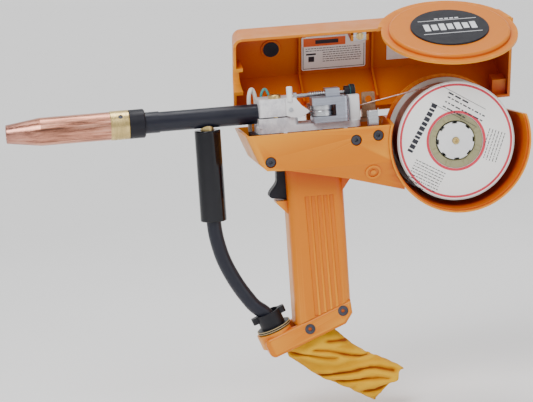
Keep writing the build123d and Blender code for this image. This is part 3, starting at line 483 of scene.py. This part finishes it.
def make_spool_print():
    """Generic print on the spool label: bold bars, a form of three lines and blocks of small print."""
    bm = bmesh.new()
    face = corners("spool_label")[0].y

    def spot(x, z):
        return Vector((SPOOL_CENTRE.x + x * MM, face, SPOOL_CENTRE.z + z * MM))

    def across(degrees):
        along = Vector((math.cos(math.radians(degrees)), 0, math.sin(math.radians(degrees))))
        return along, Vector((-along.z, 0, along.x))

    # bold bars across the left of the label
    bar_tall, bar_gap, bars_long = 0.0048, 0.0011, 0.046
    along, up = across(58)
    turn = frame_of(along, up)
    draw = random.Random(3)
    at = 0.0
    while at < bars_long:
        wide = draw.choice((0.0022, 0.0030, 0.0036))
        add_box(bm, spot(-40, -6) + along * (at + wide / 2), (wide, bar_tall, INK_THICK), turn)
        at += wide + bar_gap
    # the form at the top, between two rules
    rule_long, rule_tall, rule_gap = 0.044, 0.0004, 0.0165
    along, up = across(-32)
    lines_of_print(bm, spot(-4, 41), 1, 0.004, 0.036, 0.0014, 5, along, up)
    lines_of_print(bm, spot(-5, 37.5), 3, 0.0044, 0.036, 0.0011, 7, along, up)
    turn = frame_of(along, up)
    for drop in (0.0, rule_gap):
        add_box(bm, spot(8, 36) - up * drop, (rule_long, rule_tall, INK_THICK), turn)
    # blocks of small print, below and on the right
    along, up = across(-30)
    lines_of_print(bm, spot(-35, -13), 9, 0.0025, 0.028, 0.0007, 11, along, up)
    along, up = across(-112)
    lines_of_print(bm, spot(42, 3), 6, 0.0027, 0.026, 0.0007, 13, along, up)
    bmesh.ops.recalc_face_normals(bm, faces=bm.faces)
    new_piece("spool_label_print", bm, "spool", LOOKS["ink"], smooth=0)


# the instruction plate, where it lies under the closed cover's roof
PLATE_LOW, PLATE_HIGH, PLATE_Z = (0.0056, -0.0186), (0.0614, 0.0134), 0.1450
# heights of the print below the plate: the header band, the ink beside it and the ink upon it
BAND_LIFT, INK_LIFT, BAND_INK_LIFT = 0.00006, 0.00010, 0.00014


def plate_mark(bm, x, y, size_x, size_y, lift=INK_LIFT):
    """Mark on the instruction plate, by its corner and size on the closed cover, and swung open."""
    centre = swing_open((x + size_x / 2, y + size_y / 2, PLATE_Z - lift))
    add_box(bm, centre, (size_x, size_y, 0.00008), LID_TURN)


def make_plate_print():
    """Header band, frame and rows of dashes on the instruction plate inside the cover."""
    (x0, y0), (x1, y1) = PLATE_LOW, PLATE_HIGH
    band = bmesh.new()
    plate_mark(band, x0 + 0.0016, y0 + 0.0016, 0.0366, 0.0078, BAND_LIFT)
    new_piece("plate_header", band, "lid", LOOKS["orange_ink"], smooth=0)
    ink = bmesh.new()
    line, frame_top, frame_tall = 0.0005, y0 + 0.0096, y1 - y0 - 0.0110
    plate_mark(ink, x0 + 0.0012, frame_top, line, frame_tall)
    plate_mark(ink, x1 - 0.0016, frame_top, line, frame_tall)
    plate_mark(ink, x0 + 0.0012, y1 - 0.0018, x1 - x0 - 0.0024, line)
    plate_mark(ink, x0 + 0.0120, y0 + 0.0036, 0.0200, 0.0036, BAND_INK_LIFT)
    plate_mark(ink, x0 + 0.0040, y0 + 0.0160, 0.0085, 0.0016)
    plate_mark(ink, x0 + 0.0060, y0 + 0.0190, 0.0050, 0.0050)
    draw = random.Random(21)
    row_gap, dash_tall, dash_gap, margin = 0.0021, 0.0006, 0.0006, 0.003
    for row in range(7):
        at = x0 + (0.0036 if row < 2 else 0.0185)  # the lower rows leave room for the square mark
        y = y0 + 0.0112 + row * row_gap
        while at < x1 - 0.005:
            dash = draw.uniform(0.0008, 0.0030)
            plate_mark(ink, at, y, min(dash, x1 - margin - at), dash_tall)
            at += dash + dash_gap
    bmesh.ops.recalc_face_normals(ink, faces=ink.faces)
    new_piece("plate_print", ink, "lid", LOOKS["ink"], smooth=0)


BADGE = Vector((0.122, -0.0459, 0.089))  # middle of the badge's face on the closed cover
BADGE_INK = 0.0001


def make_badge_print():
    """Two thin rules, a row of plain blocks between them and a row of small ones above."""
    bm = bmesh.new()

    def mark(x, z, wide, tall):
        """Raised mark by its place from the badge's middle and its size, swung open."""
        add_box(bm, swing_open((BADGE.x + x, BADGE.y, BADGE.z + z)), (wide, BADGE_INK, tall), LID_TURN)

    for height in (0.0128, -0.0120):
        mark(0, height, 0.050, 0.0007)
    for index in range(7):
        mark((index - 3) * 0.0066, 0, 0.0048, 0.0125 - 0.0022 * (index % 2))
    for index in range(5):
        mark((index - 2) * 0.0044, 0.0155, 0.0030, 0.0018)
    new_piece("badge_print", bm, "lid", LOOKS["white_ink"], smooth=0)


def make_winding():
    """Close-wound wire: one rounded ridge for each turn across the spool, in one lathe."""
    gauge = bpy.context.scene.gun_sizes.wire_gauge
    low, high = corners("wound_wire")
    radius = (high.z - low.z) / 2
    width = high.y - low.y
    turns = round(width / gauge)
    pitch = width / turns
    inner, clearance = 0.0252, 0.0004  # the core's radius, and how far the ridges stay inside the CAD radius
    ridge = ((0.06, -0.32), (0.3, -0.06), (0.5, 0.0), (0.7, -0.06), (0.94, -0.32))  # in shares of the pitch
    outline = [(0.0, inner)]
    for turn in range(turns):
        outline += [((turn + share) * pitch, radius + rise * pitch - clearance) for share, rise in ridge]
    outline.append((width, inner))
    bm = bmesh.new()
    lathe(bm, outline, Vector((SPOOL_CENTRE.x, low.y, SPOOL_CENTRE.z)), (0, 1, 0), steps=88)
    new_piece("wire_winding", bm, "spool", LOOKS["wire"], smooth=50, replaces=("wound_wire",))


def make_spool_core():
    """Ribbed moulded core that shows between the label and the cap."""
    centre = Vector((SPOOL_CENTRE.x, corners("spool_label")[0].y, SPOOL_CENTRE.z))
    bm = bmesh.new()
    outline = [(0.0016, 0.0231), (0.0010, 0.0226), (0.0022, 0.0170), (0.0052, 0.0162), (0.0060, 0.0170),
               (0.0050, 0.0231)]
    lathe(bm, outline, centre, (0, 1, 0), steps=96)
    ribs, rib_size, rib_reach, rib_depth = 8, (0.0052, 0.0026, 0.0034), 0.0200, 0.0022
    for index in range(ribs):
        turn = Matrix.Rotation(-math.tau * (index + 0.5) / ribs, 3, "Y")
        add_box(bm, centre + turn @ Vector((rib_reach, 0, 0)) + Vector((0, rib_depth, 0)), rib_size, turn)
    new_piece("spool_core_ring", bm, "spool", LOOKS["core"], smooth=30)


def make_tension_spring():
    """Coil spring on the tension rod."""
    low, high = corners("tension_spring")
    centre = (low + high) / 2
    wire, around_turn, around_wire = 0.00042, 16, 6
    coil = (high.z - low.z) / 2 - wire
    steps = bpy.context.scene.gun_sizes.spring_turns * around_turn
    rings = []
    bm = bmesh.new()
    for step in range(steps + 1):
        angle = math.tau * step / around_turn
        x = low.x + wire + (high.x - low.x - 2 * wire) * step / steps
        out = Vector((0, math.cos(angle), math.sin(angle)))
        ring = []
        for side in range(around_wire):
            around = math.tau * side / around_wire
            place = Vector((x, centre.y, centre.z)) + out * (coil + wire * math.cos(around))
            ring.append(bm.verts.new(place + Vector((wire * math.sin(around), 0, 0))))
        rings.append([bm.edges.new(pair) for pair in zip(ring, ring[1:] + ring[:1])])
    for first, second in zip(rings, rings[1:]):
        bmesh.ops.bridge_loops(bm, edges=first + second)
    bmesh.ops.holes_fill(bm, edges=[e for e in bm.edges if e.is_boundary], sides=around_wire)
    bmesh.ops.recalc_face_normals(bm, faces=bm.faces)
    new_piece("tension_coil", bm, "root", LOOKS["steel"], smooth=60, replaces=("tension_spring",))


def make_gland_washers():
    """Two thin fibre washers that show as light lines round the gland's flange."""
    low, high = corners("gland_flange")
    centre = (low + high) / 2
    tilt = math.radians(21)
    axis = Vector((-math.sin(tilt), 0, math.cos(tilt)))
    inner, outer, half_thick = 0.0126, 0.01485, 0.00025
    bm = bmesh.new()
    for height in (-0.0004, 0.0013):
        ring = bmesh.new()
        low_face, high_face = height - half_thick, height + half_thick
        outline = [(low_face, inner), (low_face, outer), (high_face, outer), (high_face, inner)]
        lathe(ring, outline, centre, axis, steps=64)
        mesh = bpy.data.meshes.new("washer_scratch")
        ring.to_mesh(mesh)
        ring.free()
        bm.from_mesh(mesh)
        bpy.data.meshes.remove(mesh)
    new_piece("gland_washers", bm, "root", LOOKS["tan"])


def make_knob_disc():
    """Ribbed teal disc on the tension knob."""
    low, high = corners("tension_knob")
    centre = (low + high) / 2
    radius = (high.z - low.z) / 2
    count, groove, thick = 48, 0.00035, 0.0042
    face_x = high.x - 0.0001
    bm = bmesh.new()
    ring = []
    for index in range(count):
        angle = math.tau * index / count
        reach = radius - (groove if index % 2 else 0.0)
        y, z = centre.y + reach * math.cos(angle), centre.z + reach * math.sin(angle)
        ring.append(bm.verts.new((face_x, y, z)))
    face = bm.faces.new(ring)
    pushed = bmesh.ops.extrude_face_region(bm, geom=[face])["geom"]
    bmesh.ops.translate(bm, vec=(-thick, 0, 0), verts=only_verts(pushed))
    bmesh.ops.recalc_face_normals(bm, faces=bm.faces)
    soften(bm, 0.00025, 60)
    new_piece("knob_disc", bm, "tension_knob", LOOKS["teal"], smooth=20)


# ---- cloth sleeve ---------------------------------------------------------------------------------
# centre, half of the flattened width as a vector, and depth, from the foot to the loose end
SLEEVE_STATIONS = (
    (Vector((-0.012, 0, -0.072)), Vector((0.0215, 0, 0.0055)), 0.0200),
    (Vector((-0.003, 0, -0.084)), Vector((0.0262, 0, 0.0040)), 0.0215),
    (Vector((0.0155, 0, -0.0985)), Vector((0.0200, 0, 0.0085)), 0.0190),
    (Vector((0.0349, 0, -0.1075)), Vector((0.0140, 0, 0.0120)), 0.0170),
    (Vector((0.0540, 0, -0.1190)), Vector((0.0136, 0, 0.0123)), 0.0150),
)


def along_stations(share):
    """Centre, half-width vector and depth of the sleeve part of the way along it."""
    place = share * (len(SLEEVE_STATIONS) - 1)
    index = min(int(place), len(SLEEVE_STATIONS) - 2)
    rest = place - index
    rest = rest * rest * (3 - 2 * rest) * 0.5 + rest * 0.5
    first, second = SLEEVE_STATIONS[index], SLEEVE_STATIONS[index + 1]
    return (first[0].lerp(second[0], rest), first[1].lerp(second[1], rest),
            first[2] + (second[2] - first[2]) * rest)


# creases on the side towards the viewer, as (share of the length, place across) points
CREASES = (
    ((0.20, -0.10), (0.34, 0.25), (0.55, 0.92)),
    ((0.48, -0.95), (0.56, -0.45), (0.70, 0.30), (0.93, 0.62)),
    ((0.62, -0.90), (0.70, -0.45), (0.92, 0.15)),
    ((0.87, -0.85), (0.98, -0.10)),
    ((0.13, 0.35), (0.18, 0.95)),
    ((0.14, -0.90), (0.26, -0.40), (0.38, 0.02)),
)
LENGTH_TO_HALF_WIDTH = 4.7
# each crease is a valley with a ridge of puffed cloth beside it: heights, widths and the ridge's distance
RIDGE_HIGH, RIDGE_WIDE, RIDGE_AWAY = 0.26, 0.16, 0.26
VALLEY_DEEP, VALLEY_WIDE = 0.62, 0.085


def crease_distance(crease, share, u):
    """Distance from a place on the cloth to a crease, in half widths."""
    here = Vector((share * LENGTH_TO_HALF_WIDTH, u))
    nearest = 9.0
    for first, second in zip(crease, crease[1:]):
        start = Vector((first[0] * LENGTH_TO_HALF_WIDTH, first[1]))
        span = Vector((second[0] * LENGTH_TO_HALF_WIDTH, second[1])) - start
        rest = max(0.0, min(1.0, (here - start).dot(span) / span.length_squared))
        nearest = min(nearest, (start + span * rest - here).length)
    return nearest


def fold_height(u, v, share):
    """Sharp creases with puffed cloth beside them, over slow swells."""
    place = u if v > 0 else -u
    swell = noise.fractal(Vector((u * 1.2, v * 0.7, share * 3.2)), 0.9, 2.0, 3)
    height = 0.55 + 0.22 * swell
    for crease in CREASES:
        gap = crease_distance(crease, share, place) + 0.03 * noise.noise(Vector((u * 5, share * 16, 2.0)))
        height += RIDGE_HIGH * math.exp(-((gap - RIDGE_AWAY) / RIDGE_WIDE) ** 2)
        height -= VALLEY_DEEP * math.exp(-(gap / VALLEY_WIDE) ** 2)
    return height


def make_cable_sleeve():
    """Flattened cloth tube with long folds, open at its lower end."""
    sizes = bpy.context.scene.gun_sizes
    rows, around = 110, 150
    near = Vector((0, -1, 0))
    girth = 0.104
    length = sum((second[0] - first[0]).length for first, second in zip(SLEEVE_STATIONS, SLEEVE_STATIONS[1:]))
    bm = bmesh.new()
    cloth_uv = bm.loops.layers.uv.new("cloth")
    fold_layer = bm.verts.layers.float.new("fold")
    bmesh.ops.create_grid(bm, x_segments=around, y_segments=rows, size=0.5)
    for face in bm.faces:
        for loop in face.loops:
            loop[cloth_uv].uv = ((loop.vert.co.x + 0.5) * girth, (loop.vert.co.y + 0.5) * length)
    for vert in bm.verts:
        turn, share = vert.co.x + 0.5, vert.co.y + 0.5
        centre, half, deep = along_stations(share)
        along = near.cross(half).normalized()
        u, v = math.cos(math.tau * turn), math.sin(math.tau * turn)
        side = math.copysign(1, v)
        height = fold_height(u, v, share)
        push = sizes.fold_depth * (height - 0.45) * min(1.0, 0.25 + share * 3)
        ragged = 0.0022 * noise.noise(Vector((u * 2.1, v * 1.4, 9.0))) * share ** 4
        vert.co = (centre + half * math.copysign(abs(u) ** 0.8, u) + half.normalized() * (push * 0.6 * u)
                   + near * side * (abs(v) ** 0.9 * deep / 2 + push * abs(v) ** 0.4) + along * ragged * 2)
        # the fold height is kept for the cloth finish's painted crease shade and painted ridge highlight
        vert[fold_layer] = max(0.0, min(1.0, height))
    bmesh.ops.remove_doubles(bm, verts=bm.verts, dist=1e-6)
    bmesh.ops.recalc_face_normals(bm, faces=bm.faces)
    sleeve = new_piece("cloth_cable_sleeve", bm, "root", LOOKS["cloth"], smooth=0,
                       replaces=("cable_sleeve",))
    for polygon in sleeve.data.polygons:
        polygon.use_smooth = True
    thick = sleeve.modifiers.new("cloth_thickness", "SOLIDIFY")
    thick.thickness = sizes.cloth_weight
    thick.offset = -1
    rounding = sleeve.modifiers.new("cloth_rounding", "SUBSURF")
    rounding.levels = 1
    rounding.render_levels = 1


# ---- stage ------------------------------------------------------------------------------------------
def make_stage():
    """Pale floor that sweeps up behind the gun."""
    floor_z = CAD_BOX[0][2] - 0.012
    half_wide, front_y, bend_y, bend, bend_steps, top = 6.0, -6.0, 1.2, 0.8, 12, 5.0
    outline = [(front_y, 0.0), (bend_y, 0.0)]
    for step in range(1, bend_steps + 1):
        angle = math.pi / 2 * step / bend_steps
        outline.append((bend_y + bend * math.sin(angle), bend - bend * math.cos(angle)))
    outline.append((bend_y + bend, top))
    bm = bmesh.new()
    verts = [bm.verts.new((-half_wide, y, floor_z + z)) for y, z in outline]
    edges = [bm.edges.new(pair) for pair in zip(verts, verts[1:])]
    pushed = bmesh.ops.extrude_edge_only(bm, edges=edges)["geom"]
    bmesh.ops.translate(bm, vec=(2 * half_wide, 0, 0), verts=only_verts(pushed))
    bmesh.ops.recalc_face_normals(bm, faces=bm.faces)
    mesh = bpy.data.meshes.new("studio_floor")
    bm.to_mesh(mesh)
    bm.free()
    for face in mesh.polygons:
        face.use_smooth = True
    floor = bpy.data.objects.new("studio_floor", mesh)
    bpy.context.scene.collection.objects.link(floor)
    look = Nodes("pale_floor", 0.9)
    look.colour(look.ramp(look.noise(3, 2), ((0.3, (0.93, 0.93, 0.93)), (0.7, (0.95, 0.95, 0.95)))))
    mesh.materials.append(look.material)


def add_light(name, place, aim, size, power):
    """Soft square lamp aimed at a point."""
    data = bpy.data.lights.new(name, "AREA")
    data.size = size
    data.energy = power
    lamp = bpy.data.objects.new(name, data)
    lamp.location = place
    lamp.rotation_euler = (Vector(aim) - Vector(place)).to_track_quat("-Z", "Y").to_euler()
    bpy.context.scene.collection.objects.link(lamp)


SENSOR_WIDTH = 36


def make_camera():
    """Long lens, slightly to the nozzle side and above, rolled a little."""
    azimuth, elevation, roll = math.radians(-8), math.radians(8), math.radians(3.9)
    right = Vector((math.cos(azimuth), math.sin(azimuth), 0))
    ahead = Vector((-math.sin(azimuth) * math.cos(elevation), math.cos(azimuth) * math.cos(elevation),
                    -math.sin(elevation)))
    up = right.cross(ahead)
    image_x = right * math.cos(roll) - up * math.sin(roll)
    image_y = right * math.sin(roll) + up * math.cos(roll)
    target = Vector((-0.0447, -0.0315, 0.0513))
    distance, field = 2.2, 0.442  # metres to the target, and metres across the picture there
    data = bpy.data.cameras.new("camera")
    data.sensor_width = SENSOR_WIDTH
    data.lens = SENSOR_WIDTH * distance / field
    data.clip_start = 0.05
    camera = bpy.data.objects.new("camera", data)
    turn = Matrix((image_x, image_y, -ahead)).transposed().to_4x4()
    camera.matrix_world = Matrix.Translation(target - ahead * distance) @ turn
    bpy.context.scene.collection.objects.link(camera)
    bpy.context.scene.camera = camera


# ---- operators ---------------------------------------------------------------------------------------
class GUN_OT_stage(bpy.types.Operator):
    """Build the camera, the floor and the lamps"""
    bl_idname = "gun.stage"
    bl_label = "Stage"

    def execute(self, context):
        make_camera()
        make_stage()
        aim = (0, 0, 0.05)
        add_light("key_lamp", (-0.9, -1.5, 1.7), aim, 1.1, 40)
        add_light("fill_lamp", (1.5, -1.5, 0.6), aim, 1.5, 10)
        add_light("top_lamp", (0.1, 0.3, 1.9), aim, 1.0, 18)
        world = bpy.data.worlds.new("studio_world")
        world.use_nodes = True
        world.node_tree.nodes["Background"].inputs["Color"].default_value = (1, 1, 1, 1)
        world.node_tree.nodes["Background"].inputs["Strength"].default_value = 0.62
        context.scene.world = world
        return {"FINISHED"}


class GUN_OT_finishes(bpy.types.Operator):
    """Give every carried-over part its procedural finish"""
    bl_idname = "gun.finishes"
    bl_label = "Finishes"

    def execute(self, context):
        LOOKS.update(build_materials())
        for part in frame["record"]["subparts"]:
            node = NODES[part["node"]]
            look = LOOKS[NODE_LOOKS.get(part["node"], part["material_slot"])]
            for material_slot in node.material_slots:
                material_slot.material = look
            if not node.material_slots:
                node.data.materials.append(look)
        return {"FINISHED"}


class GUN_OT_spool(bpy.types.Operator):
    """Wind the wire and print the spool label"""
    bl_idname = "gun.spool"
    bl_label = "Spool"

    def execute(self, context):
        make_winding()
        make_spool_core()
        make_spool_print()
        return {"FINISHED"}


class GUN_OT_plates(bpy.types.Operator):
    """Print the badge and the plate inside the cover"""
    bl_idname = "gun.plates"
    bl_label = "Plates"

    def execute(self, context):
        make_plate_print()
        make_badge_print()
        return {"FINISHED"}


class GUN_OT_mechanism(bpy.types.Operator):
    """Add the spring, washers and knob disc"""
    bl_idname = "gun.mechanism"
    bl_label = "Mechanism details"

    def execute(self, context):
        make_tension_spring()
        make_gland_washers()
        make_knob_disc()
        return {"FINISHED"}


class GUN_OT_sleeve(bpy.types.Operator):
    """Hang the cloth cable sleeve from the foot"""
    bl_idname = "gun.sleeve"
    bl_label = "Cloth sleeve"

    def execute(self, context):
        make_cable_sleeve()
        return {"FINISHED"}


class GUN_PT_panel(bpy.types.Panel):
    """Sidebar panel with the settings and the build steps"""
    bl_idname = "GUN_PT_panel"
    bl_label = "Spool gun"
    bl_space_type = "VIEW_3D"
    bl_region_type = "UI"
    bl_category = "Spool gun"

    def draw(self, context):
        for group in (context.scene.gun_colours, context.scene.gun_sizes):
            box = self.layout.box()
            for name in group.__annotations__:
                box.prop(group, name)
        for step in STEPS:
            self.layout.operator(step.bl_idname)


STEPS = (GUN_OT_stage, GUN_OT_finishes, GUN_OT_sleeve, GUN_OT_spool, GUN_OT_plates, GUN_OT_mechanism)
CLASSES = (GunColours, GunSizes, *STEPS, GUN_PT_panel)


def register():
    """Register the classes and hang the settings on the scene."""
    for cls in CLASSES:
        bpy.utils.register_class(cls)
    bpy.types.Scene.gun_colours = PointerProperty(type=GunColours)
    bpy.types.Scene.gun_sizes = PointerProperty(type=GunSizes)


def unregister():
    """Take the settings and the classes away again."""
    del bpy.types.Scene.gun_sizes
    del bpy.types.Scene.gun_colours
    for cls in reversed(CLASSES):
        bpy.utils.unregister_class(cls)


def main():
    """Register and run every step."""
    register()
    for step in STEPS:
        family, name = step.bl_idname.split(".")
        getattr(getattr(bpy.ops, family), name)()


if __name__ == "__main__":
    main()
